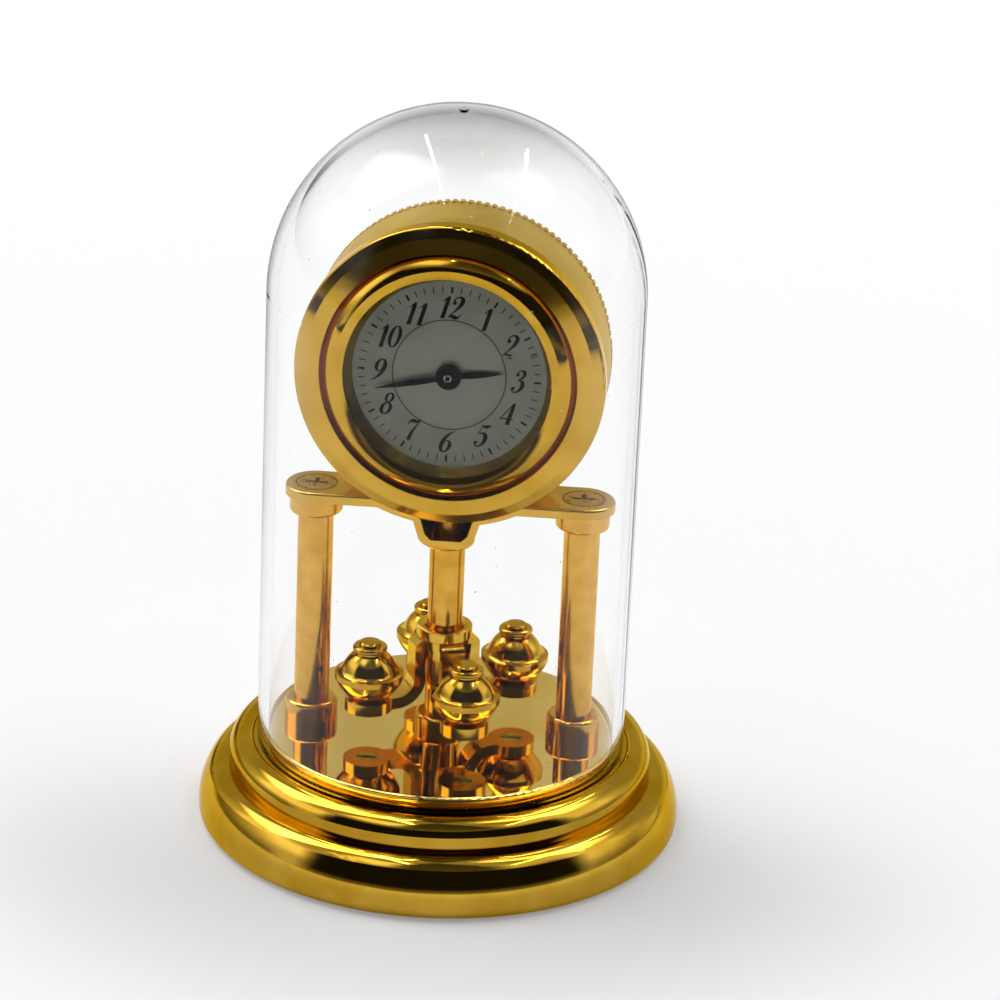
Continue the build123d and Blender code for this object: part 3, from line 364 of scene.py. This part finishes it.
# Finishes of the movement and of the underside
innerLooks = {
    "innerBrass": likePlate(
        shade=(0.55, 0.38, 0.16, 1), light=(0.66, 0.48, 0.22, 1), cloud=1.5, grain=0.08, rough=0.28,
        roughGrain=0.1, grainDepth=0.002, coat=0.0,
    ),
    "plainSteel": likeDull(
        shade=(0.42, 0.42, 0.43, 1), light=(0.58, 0.58, 0.59, 1), cloud=1.2, grain=0.08, rough=0.27,
        roughGrain=0.12, grainDepth=0.002, coat=0.0,
    ),
    "gearPlastic": likeDull(
        shade=(0.62, 0.60, 0.50, 1), light=(0.74, 0.72, 0.62, 1), cloud=0.8, grain=0.15, rough=0.42,
        roughGrain=0.1, grainDepth=0.003, metal=0.0, coat=0.0,
    ),
    "movementPlastic": likeDull(
        shade=(0.012, 0.012, 0.013, 1), light=(0.030, 0.030, 0.032, 1), cloud=1.2, grain=0.12, rough=0.5,
        roughGrain=0.14, grainDepth=0.005, metal=0.0, coat=0.0,
    ),
    "copperWire": likePlate(
        shade=(0.36, 0.11, 0.035, 1), light=(0.60, 0.22, 0.07, 1), cloud=0.5, grain=0.06,
        stretch=(5, 0.4, 0.4), rough=0.3, roughGrain=0.2, grainDepth=0.012, metal=0.9, coat=0.4,
    ),
    "boardGreen": likeDull(
        shade=(0.010, 0.085, 0.028, 1), light=(0.020, 0.145, 0.045, 1), cloud=0.7, grain=0.1, rough=0.32,
        roughGrain=0.1, grainDepth=0.003, metal=0.0, coat=0.4,
    ),
    "brightNickel": likeDull(
        shade=(0.55, 0.55, 0.54, 1), light=(0.68, 0.68, 0.67, 1), cloud=1.6, grain=0.06, rough=0.16,
        roughGrain=0.1, grainDepth=0.001, coat=0.0,
    ),
    "castIron": likeDull(
        shade=(0.035, 0.034, 0.034, 1), light=(0.085, 0.083, 0.08, 1), cloud=1.4, grain=0.25, rough=0.6,
        roughGrain=0.2, grainDepth=0.03, metal=0.6, coat=0.0,
    ),
    "soleFelt": likeDull(
        shade=(0.010, 0.010, 0.012, 1), light=(0.034, 0.034, 0.038, 1), cloud=0.5, grain=0.14, rough=0.95,
        roughGrain=0.08, grainDepth=0.06, metal=0.0, coat=0.0,
    ),
    "handBlack": likeDull(
        shade=(0.004, 0.004, 0.004, 1), light=(0.010, 0.009, 0.008, 1), cloud=0.6, grain=0.12, rough=0.22,
        roughGrain=0.1, grainDepth=0.0015, metal=0.0, coat=0.0, edge=(0.12, 0.12, 0.12, 1),
    ),
}
inner = {name: solidFinish(name, look) for name, look in innerLooks.items()}

dialLook = {
    "shade": (0.27, 0.27, 0.215, 1), "light": (0.32, 0.325, 0.265, 1), "paintedSheen": 0.5,
    "paintedSheenColour": (0.37, 0.37, 0.30, 1), "paintedSheenBand": (1.15, 4.3, 0.35), "darkerRing": 0.25,
    "darkerRingBand": (1.55, 1.72, 0.05), "grain": 0.05, "cloud": 2.4, "rough": 0.48, "roughGrain": 0.10,
    "roughCloud": 0.06, "grainDepth": 0.0012, "metal": 0.7,
}
domeLook = {
    "colour": (0.992, 0.994, 0.996, 1), "crownPaintedShade": (0.62, 0.635, 0.63, 1), "crownLevels": (57.8, 62.4),
    "ior": 1.49, "mirror": (0.12, 0.12, 0.12, 1), "rough": 0.0, "roughSmear": 0.012, "smear": 6.0,
    "smearSpan": (0.52, 0.75), "wave": 9.0, "waveDepth": 0.01, "dustCell": 1.6, "dustRadius": 0.055,
    "dustShare": 0.25, "dustCover": 0.8, "dust": (0.25, 0.23, 0.20, 1), "shadow": (0.93, 0.94, 0.95, 1),
}
crystalLook = {
    **domeLook, "colour": (0.98, 0.985, 0.98, 1), "crownPaintedShade": (0.98, 0.985, 0.98, 1),
    "mirror": (0.04, 0.04, 0.04, 1), "roughSmear": 0.002, "smear": 3.0, "wave": 6.0, "waveDepth": 0.001,
    "dustShare": 0.12, "dustRadius": 0.03,
}
dialSilver = dialFinish("dialSilver", dialLook)
domeClear = clearFinish("domeClear", domeLook)
crystalClear = clearFinish("crystalClear", crystalLook)

# Finish by the record's material slot, then the nodes that are finished apart
bySlot = {
    "polished_gold": baseGold, "satin_gold": drumGold, "mirror_gold": mirrorGold,
    "inner_brass": inner["innerBrass"], "steel": inner["plainSteel"], "clear_dome": domeClear,
    "crystal": crystalClear, "dial_silver": dialSilver, "hand_black": inner["handBlack"],
    "gear_plastic": inner["gearPlastic"], "movement_plastic": inner["movementPlastic"],
    "copper": inner["copperWire"], "board_green": inner["boardGreen"],
    "battery_steel": inner["brightNickel"], "ballast_iron": inner["castIron"], "sole_felt": inner["soleFelt"],
}
byNode = {
    "left_pillar": pillarGold, "right_pillar": pillarGold, "centre_column": pillarGold,
    "left_foot_collar": pillarGold, "right_foot_collar": pillarGold, "centre_foot_collar": pillarGold,
    "left_top_collar": pillarGold, "right_top_collar": pillarGold, "centre_top_collar": pillarGold,
    "bridge": bridgeGold, "bridge_screws": screwGold, "bezel": bezelGold, "rehaut": rehautGoldPaintedDark,
    "pendulum_hub": spiderGold, "pendulum_spider": spiderGold, "rest_ring": spiderGold,
    "pendulum_bells": ballGold, "pendulum_domes": ballGold, "pendulum_knobs": ballGold,
    "case_stud": screwGold,
}


def dress(piece, material):
    if not piece.data.materials:
        piece.data.materials.append(material)
    for slot in piece.material_slots:
        slot.material = material


for part in frame["record"]["subparts"]:
    name = part["node"]
    dress(nodes[name], byNode.get(name, bySlot[part["material_slot"]]))


def meshPiece(name, form, material, body, thick=0.0):
    # a finished piece from a bmesh, riding a body; thick in millimetres adds depth towards the viewer
    mesh = bpy.data.meshes.new(name)
    form.to_mesh(mesh)
    form.free()
    piece = bpy.data.objects.new(name, mesh)
    bpy.context.scene.collection.objects.link(piece)
    mesh.materials.append(material)
    if thick:
        solid = piece.modifiers.new("thickness", "SOLIDIFY")
        solid.thickness = thick * mm
        solid.offset = 0
    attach(piece, body)
    return piece


# Numbers: pen strokes as (x, y, width) in shares of the number's height, and round ends as (x, y, radius)
numberLook = {
    "height": 1.92, "radius": 5.72, "slant": 0.27, "narrow": 0.96, "lift": 0.012, "ink": 0.008,
    "space": 0.60, "oneSpace": 0.46, "steps": 7,
}
penStrokes = {
    "0": [("ring", 0.30, 0.50, 0.20, 0.46, 0.17, 0.05)],
    "1": [
        [(0.30, 1.00, 0.10), (0.29, 0.80, 0.18), (0.28, 0.40, 0.18), (0.27, 0.00, 0.19)],
        [(0.30, 0.98, 0.07), (0.20, 0.88, 0.07), (0.07, 0.74, 0.03)],
        [(0.27, 0.02, 0.05), (0.17, 0.01, 0.03)],
    ],
    "2": [
        [
            (0.12, 0.72, 0.08), (0.11, 0.86, 0.06), (0.21, 0.97, 0.06), (0.35, 0.98, 0.09),
            (0.46, 0.88, 0.17), (0.47, 0.72, 0.19), (0.38, 0.52, 0.13), (0.22, 0.30, 0.06),
            (0.05, 0.07, 0.04),
        ],
        [
            (0.05, 0.07, 0.04), (0.17, 0.13, 0.11), (0.31, 0.08, 0.17), (0.44, 0.06, 0.13),
            (0.53, 0.14, 0.05), (0.56, 0.25, 0.03),
        ],
        ("ball", 0.15, 0.72, 0.085),
    ],
    "3": [
        [
            (0.12, 0.80, 0.06), (0.16, 0.94, 0.05), (0.29, 0.99, 0.07), (0.42, 0.91, 0.15),
            (0.43, 0.76, 0.15), (0.34, 0.62, 0.07), (0.22, 0.56, 0.035),
        ],
        [
            (0.22, 0.56, 0.035), (0.38, 0.53, 0.09), (0.48, 0.40, 0.17), (0.48, 0.22, 0.18),
            (0.38, 0.06, 0.10), (0.24, 0.01, 0.06), (0.11, 0.06, 0.05), (0.08, 0.17, 0.06),
        ],
        ("ball", 0.15, 0.80, 0.075),
        ("ball", 0.12, 0.17, 0.08),
    ],
    "4": [
        [(0.42, 1.00, 0.05), (0.22, 0.64, 0.05), (0.01, 0.27, 0.05)],
        [(0.01, 0.27, 0.06), (0.30, 0.27, 0.06), (0.58, 0.27, 0.06)],
        [(0.44, 1.00, 0.06), (0.42, 0.75, 0.16), (0.40, 0.30, 0.18), (0.39, 0.00, 0.20)],
    ],
    "5": [
        [(0.20, 0.96, 0.035), (0.16, 0.76, 0.035), (0.13, 0.55, 0.035)],
        [(0.19, 0.95, 0.04), (0.32, 0.92, 0.14), (0.46, 0.93, 0.14), (0.58, 1.00, 0.03)],
        [
            (0.13, 0.55, 0.035), (0.28, 0.62, 0.07), (0.43, 0.55, 0.15), (0.49, 0.36, 0.19),
            (0.43, 0.13, 0.13), (0.28, 0.01, 0.07), (0.13, 0.05, 0.05), (0.08, 0.16, 0.06),
        ],
        ("ball", 0.12, 0.17, 0.08),
    ],
    "6": [
        [
            (0.54, 0.99, 0.025), (0.38, 0.90, 0.07), (0.20, 0.68, 0.15), (0.11, 0.38, 0.19),
            (0.15, 0.13, 0.14), (0.28, 0.02, 0.06), (0.41, 0.09, 0.11), (0.48, 0.28, 0.17),
            (0.44, 0.46, 0.12), (0.34, 0.54, 0.05), (0.23, 0.49, 0.04), (0.15, 0.38, 0.04),
        ],
    ],
    "7": [
        [
            (0.04, 0.72, 0.03), (0.10, 0.87, 0.10), (0.22, 0.92, 0.16), (0.38, 0.87, 0.13),
            (0.50, 0.92, 0.08), (0.58, 1.00, 0.03),
        ],
        [(0.58, 1.00, 0.03), (0.44, 0.70, 0.06), (0.31, 0.38, 0.13), (0.26, 0.02, 0.19)],
    ],
    "8": [("ring", 0.31, 0.77, 0.15, 0.20, 0.12, 0.05), ("ring", 0.29, 0.28, 0.19, 0.25, 0.16, 0.05)],
}
penStrokes["9"] = [[(0.60 - x, 1 - y, w) for x, y, w in penStrokes["6"][0]]]


def between(p, q, r, u, t):
    # a smooth step from q to r that minds the values before and after them
    bend = (2 * p - 5 * q + 4 * r - u) * t * t
    return 0.5 * (2 * q + (r - p) * t + bend + (3 * q - p - 3 * r + u) * t ** 3)


def smooth(points, steps):
    # a curve through the points, with its width carried along
    ends = [points[0]] + list(points) + [points[-1]]
    curve = []
    for i in range(1, len(ends) - 2):
        for s in range(steps):
            curve.append(tuple(between(*four, s / steps) for four in zip(*ends[i - 1 : i + 3])))
    curve.append(tuple(points[-1]))
    return curve


def ribbon(form, line, place, closed=False):
    # a flat band that follows the line at its widths
    pairs = []
    count = len(line)
    for i, (x, y, w) in enumerate(line):
        before = line[i - 1] if i or closed else line[0]
        after = line[(i + 1) % count] if i < count - 1 or closed else line[-1]
        way = Vector((after[0] - before[0], after[1] - before[1]))
        side = Vector((-way.y, way.x)).normalized() * (w / 2)
        left = form.verts.new(place(x + side.x, y + side.y))
        pairs.append((left, form.verts.new(place(x - side.x, y - side.y))))
    last = count if closed else count - 1
    for i in range(last):
        a, b = pairs[i], pairs[(i + 1) % count]
        form.faces.new((a[0], a[1], b[1], b[0]))


def circle(radius, width, count):
    # points round a circle, each with the width of its stroke
    angles = [2 * math.pi * i / count for i in range(count)]
    return [(radius * math.cos(a), radius * math.sin(a), width) for a in angles]


def spotDisc(form, x, y, radius, place, sides=20):
    form.faces.new([form.verts.new(place(x + u, y + v)) for u, v, _ in circle(radius, 0, sides)])


def oval(x, y, wide, high, side, top, count=36, swell=1.4):
    # an oval pen stroke, thick at its sides and thin at its top and bottom
    line = []
    for u, v, _ in circle(1, 0, count):
        line.append((x + wide * u, y + high * v, top + (side - top) * abs(u) ** swell))
    return line


def drawNumber(form, text, x, y, look):
    spaces = [look["oneSpace"] if c == "1" else look["space"] for c in text]
    cursor = -sum(spaces) / 2
    for c, space in zip(text, spaces):
        def place(u, v, start=cursor):
            rise = v - 0.5
            flat = (start + u) * look["narrow"] + rise * look["slant"]
            return onDial(x + flat * look["height"], y + rise * look["height"], look["lift"])

        for stroke in penStrokes[c]:
            if stroke[0] == "ring":
                ribbon(form, oval(*stroke[1:]), place, closed=True)
            elif stroke[0] == "ball":
                spotDisc(form, *stroke[1:], place)
            else:
                ribbon(form, smooth(stroke, look["steps"]), place)
        cursor += space


numbers = bmesh.new()
for hour in range(1, 13):
    angle = math.radians(360 / 12 * hour)
    across, up = numberLook["radius"] * math.sin(angle), numberLook["radius"] * math.cos(angle)
    drawNumber(numbers, str(hour), across, up, numberLook)
inkLook = likeDull(
    shade=(0.010, 0.009, 0.008, 1), light=(0.022, 0.020, 0.017, 1), cloud=0.5, grain=0.08, rough=0.5,
    roughGrain=0.12, waveDepth=0.0, grainDepth=0.001, metal=0.0, coat=0.0, edge=(0.2, 0.2, 0.2, 1),
)
ink = solidFinish("printInk", inkLook)
meshPiece("dialNumbers", numbers, ink, "frame", numberLook["ink"])

# Minute track: sixty short marks, a bolder one at each hour
trackLook = {
    "outer": 7.48, "length": 0.55, "thin": 0.075, "bold": 0.17, "lift": 0.010, "ink": 0.008,
    "marks": 60, "boldEvery": 5,
}
track = bmesh.new()
for minute in range(trackLook["marks"]):
    angle = math.radians(360 / trackLook["marks"] * minute)
    wide = trackLook["thin"] if minute % trackLook["boldEvery"] else trackLook["bold"]
    outward = Vector((math.sin(angle), math.cos(angle)))
    side = Vector((outward.y, -outward.x)) * (wide / 2)
    foot, head = outward * (trackLook["outer"] - trackLook["length"]), outward * trackLook["outer"]
    corners = [foot - side, foot + side, head + side, head - side]
    track.faces.new([track.verts.new(onDial(c.x, c.y, trackLook["lift"])) for c in corners])
meshPiece("minuteTrack", track, ink, "frame", trackLook["ink"])

# Thin ring inside the numbers
ringLook = {"radius": 4.65, "width": 0.085, "lift": 0.011, "ink": 0.008, "count": 120}
ring = bmesh.new()
ribbon(
    ring,
    circle(ringLook["radius"], ringLook["width"], ringLook["count"]),
    lambda x, y: onDial(x, y, ringLook["lift"]),
    closed=True,
)
oliveLook = {**inkLook, "shade": (0.030, 0.026, 0.012, 1), "light": (0.050, 0.043, 0.020, 1)}
olive = solidFinish("oliveInk", oliveLook)
meshPiece("dialRing", ring, olive, "frame", ringLook["ink"])

# Bright rim of the tube that shows in the middle of the black boss
pinLook = {"radius": 0.27, "wall": 0.055, "rise": 0.02, "around": 40, "across": 10}
pin = bmesh.new()
pinFront = frontOf("hand_cap")
loops = []
for u, v, _ in circle(1, 0, pinLook["around"]):
    loop = []
    for out, rise, _ in circle(1, 0, pinLook["across"]):
        wide = pinLook["radius"] + pinLook["wall"] / 2 * out
        loop.append(pin.verts.new(onDial(wide * u, wide * v, pinFront + pinLook["rise"] * rise)))
    loops.append(loop)
for i in range(pinLook["around"]):
    for j in range(pinLook["across"]):
        k, m = (i + 1) % pinLook["around"], (j + 1) % pinLook["across"]
        face = pin.faces.new((loops[i][j], loops[k][j], loops[k][m], loops[i][m]))
        face.smooth = True
meshPiece("pinRim", pin, inner["brightNickel"], "minute_hand")
print("dial printed")

# Floor: pale sheet which keeps the clock's soft shadow. Painted shade makes its colour and glow darker near
# the clock, and a painted shadow makes them darker still in front of it. What the metal mirrors of it is
# darker behind the clock, in a wedge behind on the left, and far in front of it.
floorLook = {
    "size": 3.0, "nearShadeColour": (0.80, 0.79, 0.79, 1), "far": (0.93, 0.93, 0.95, 1), "nearEdge": 20.0,
    "closeEdge": 55.0, "farEdge": 230.0, "glowNear": 0.28, "glowClose": 0.27, "glowFar": 0.45,
    "frontShadowGlow": 0.3, "nearShadeTone": (0.86, 0.87, 0.88, 1), "farTone": (1, 1, 1, 1),
    "paperSize": 30.0, "paper": 0.04, "paperTone": (0.70, 0.71, 0.74, 1),
    "backSpan": (25, 70), "backTone": (0.40, 0.40, 0.41, 1),
    "wedgeSides": (-160, -142, 4), "wedgeSpan": (90, 130), "wedgeTone": (0.01, 0.01, 0.01, 1),
    "frontLeast": 0.3, "frontSpan": (-20, 34), "frontReach": (19, 52), "frontShade": 0.9,
    "frontShadowTone": (0.36, 0.365, 0.36, 1), "fadeSpan": (165, 320), "fadeTone": (0.05, 0.05, 0.05, 1),
}
degrees = 180 / math.pi
floorForm = bmesh.new()
bmesh.ops.create_grid(floorForm, x_segments=1, y_segments=1, size=floorLook["size"])
floorMesh = bpy.data.meshes.new("floor")
floorForm.to_mesh(floorMesh)
floorForm.free()
floor = bpy.data.objects.new("floor", floorMesh)
bpy.context.scene.collection.objects.link(floor)
sheet = Sheet(bpy.data.materials.new("paleFloor"))
spot = sheet.spot()
away = sheet.vector("LENGTH", spot, out="Value")
# Painted shade: the floor's colour and its glow tone are darker near the clock and lighten towards the far
# edge
far = sheet.ramp(away, floorLook["nearEdge"], floorLook["farEdge"])
paper = sheet.noise(spot, floorLook["paperSize"], *noiseLook["soft"])
colour = sheet.blend(far, floorLook["nearShadeColour"], floorLook["far"])
colour = sheet.blend(paper * floorLook["paper"], colour, floorLook["paperTone"])
diffuse = sheet.node("ShaderNodeBsdfDiffuse", None, {"Color": colour})
seen = sheet.node("ShaderNodeLightPath", out="Is Camera Ray")
tone = sheet.blend(far, floorLook["nearShadeTone"], floorLook["farTone"])
east, north, _ = sheet.parts(spot)
mirrored = seen.output("Is Glossy Ray") * (1 - seen.output("Is Transmission Ray"))
tone = sheet.blend(mirrored * sheet.ramp(north, *floorLook["backSpan"]), tone, floorLook["backTone"])
south = north * -1
bearing = sheet.node("ShaderNodeMath", {"operation": "ARCTAN2"}, {0: east, 1: south}) * degrees
wedge = sheet.window(bearing, *floorLook["wedgeSides"]) * sheet.ramp(away, *floorLook["wedgeSpan"])
tone = sheet.blend(mirrored * wedge, tone, floorLook["wedgeTone"])
# Painted shadow in front of the clock: near it the glow is toned darker there and takes a larger share
front = sheet.ramp(south, *floorLook["frontSpan"], floorLook["frontLeast"])
front = front * sheet.ramp(away, *floorLook["frontReach"], 1.0, 0.0)
tone = sheet.blend(front * floorLook["frontShade"], tone, floorLook["frontShadowTone"])
reflected = seen.output("Glossy Depth") > 0.5
tone = sheet.blend(reflected * sheet.ramp(south, *floorLook["fadeSpan"]), tone, floorLook["fadeTone"])
glow = sheet.node("ShaderNodeEmission", None, {"Color": tone, "Strength": 1.0})
direct = sheet.node(
    "ShaderNodeMath",
    {"operation": "ADD", "use_clamp": True},
    {0: seen + seen.output("Is Glossy Ray"), 1: seen.output("Is Transmission Ray")},
)
close = sheet.ramp(away, floorLook["nearEdge"], floorLook["closeEdge"])
amount = floorLook["glowNear"] + close * floorLook["glowClose"] + far * floorLook["glowFar"]
amount = direct * (amount + front * floorLook["frontShadowGlow"])
dress(floor, sheet.finish(sheet.node("ShaderNodeMixShader", None, {0: amount, 1: diffuse, 2: glow})))

# Room: pale walls, a grey ceiling, bright panels and dark places. Each panel and each dark place has the
# degrees round from the front between which it lies, the degrees up between which it lies, and its strength.
roomLook = {
    "wall": 0.85, "ceiling": 0.42, "ceilingSpan": (20, 85), "blue": 1.01, "panelSoft": 5, "shadeSoft": 7,
    "behind": (125, 10, 50, 0.42), "behindSoft": 8, "highBehind": (150, 52, 0.8), "sideSoft": 10,
}
panels = {
    "left": (-112, -60, 16, 40, 0.9), "highLeft": (-138, -92, 38, 78, 6.0), "front": (-66, -16, 52, 68, 1.5),
    "right": (52, 162, 42, 62, 0.5), "highRight": (96, 132, 46, 78, 3.4), "low": (80, 112, 14, 42, 0.5),
}
shades = {
    "front": (-60, 78, 0, 45, 0.985), "top": (-25, 45, 45, 100, 0.85), "lowFront": (-60, 78, -60, 0, 0.93),
    "backLeft": (-158, -142, -14, 6, 0.97), "left": (-142, -75, -12, 8, 0.7), "right": (80, 115, -12, 8, 0.6),
}
world = bpy.data.worlds.new("studioRoom")
bpy.context.scene.world = world
room = Sheet(world)
x, y, z = room.parts(room.vector("NORMALIZE", room.node("ShaderNodeTexCoord", out="Generated")))
height = room.node("ShaderNodeMath", {"operation": "ARCSINE"}, {0: z}) * degrees
around = room.node("ShaderNodeMath", {"operation": "ARCTAN2"}, {0: x, 1: y * -1}) * degrees
light = room.ramp(height, *roomLook["ceilingSpan"], roomLook["wall"], roomLook["ceiling"])


def patch(low, high, bottom, top, strength, soft):
    return room.window(around, low, high, soft) * room.window(height, bottom, top, soft) * strength


def pastSides(low, soft=roomLook["sideSoft"]):
    # one behind the clock, more than so many degrees round from the front on either side
    turned = room.node("ShaderNodeMath", {"operation": "ABSOLUTE"}, {0: around})
    return room.ramp(turned, low - soft, low + soft)


for panel in panels.values():
    light = light + patch(*panel, roomLook["panelSoft"])
for shade in shades.values():
    light = light * (1 - patch(*shade, roomLook["shadeSoft"]))
low, bottom, top, depth = roomLook["behind"]
light = light * (1 - pastSides(low) * room.window(height, bottom, top, roomLook["behindSoft"]) * depth)
low, bottom, depth = roomLook["highBehind"]
soft = roomLook["shadeSoft"]
light = light * (1 - pastSides(low) * room.ramp(height, bottom - soft, bottom + soft) * depth)
# White behind the clock, also straight through the clear walls
path = room.node("ShaderNodeLightPath", out="Is Camera Ray")
straight = (path.output("Glossy Depth") < 0.5) * (path.output("Diffuse Depth") < 0.5)
clear = path + path.output("Is Transmission Ray") * straight
tone = room.blend(clear, room.join(light, light, light * roomLook["blue"]), (1, 1, 1, 1))
background = room.node("ShaderNodeBackground", None, {"Color": tone, "Strength": 1.0})
room.node("ShaderNodeOutputWorld", None, {"Surface": background})

# Two ceiling tubes that run from front to back; they draw the two bright lines on the dome
tubes = {
    "leftTube": {"ends": ((-0.129, -0.290, 1.0), (-0.342, 0.847, 1.0)), "width": 0.022, "power": 2.0},
    "rightTube": {"ends": ((0.558, -0.378, 1.0), (0.462, 0.915, 1.0)), "width": 0.022, "power": 1.7},
}
tubeTarget = Vector((0, 0, 30)) * mm
for name, tube in tubes.items():
    first, second = (Vector(end) for end in tube["ends"])
    lamp = bpy.data.lights.new(name, "AREA")
    lamp.shape = "RECTANGLE"
    lamp.size = (second - first).length
    lamp.size_y = tube["width"]
    lamp.energy = tube["power"]
    lampObject = bpy.data.objects.new(name, lamp)
    along = (second - first).normalized()
    middle = (first + second) / 2
    facing = (middle - tubeTarget).normalized()
    facing = (facing - along * facing.dot(along)).normalized()
    across = facing.cross(along)
    axes = Matrix((along, across, facing)).transposed().to_4x4()
    lampObject.matrix_world = Matrix.Translation(middle) @ axes
    bpy.context.scene.collection.objects.link(lampObject)

# Camera: right of the front, looking down, held with a small roll
cameraLook = {
    "aim": (4.18, 0.24, 28.87), "distance": 345.11, "yaw": 3.24, "pitch": 21.91, "roll": 2.449,
    "focalPixels": 4165.9, "pixels": 1000, "sensor": 36, "clipStart": 0.01, "clipEnd": 20,
}
yaw, pitch, roll = (math.radians(cameraLook[key]) for key in ("yaw", "pitch", "roll"))
ahead = Vector((-math.sin(yaw) * math.cos(pitch), math.cos(yaw) * math.cos(pitch), -math.sin(pitch)))
level = Vector((math.cos(yaw), math.sin(yaw), 0))
above = level.cross(ahead)
rightward = level * math.cos(roll) + above * math.sin(roll)
upward = above * math.cos(roll) - level * math.sin(roll)
lens = bpy.data.cameras.new("camera")
lens.sensor_width = cameraLook["sensor"]
lens.lens = cameraLook["sensor"] * cameraLook["focalPixels"] / cameraLook["pixels"]
lens.clip_start = cameraLook["clipStart"]
lens.clip_end = cameraLook["clipEnd"]
camera = bpy.data.objects.new("camera", lens)
turned = Matrix((rightward, upward, -ahead)).transposed().to_4x4()
stand = (Vector(cameraLook["aim"]) - ahead * cameraLook["distance"]) * mm
camera.matrix_world = Matrix.Translation(stand) @ turned
bpy.context.scene.collection.objects.link(camera)
bpy.context.scene.camera = camera
bpy.context.scene.view_settings.view_transform = "Standard"
print("camera and lights set")
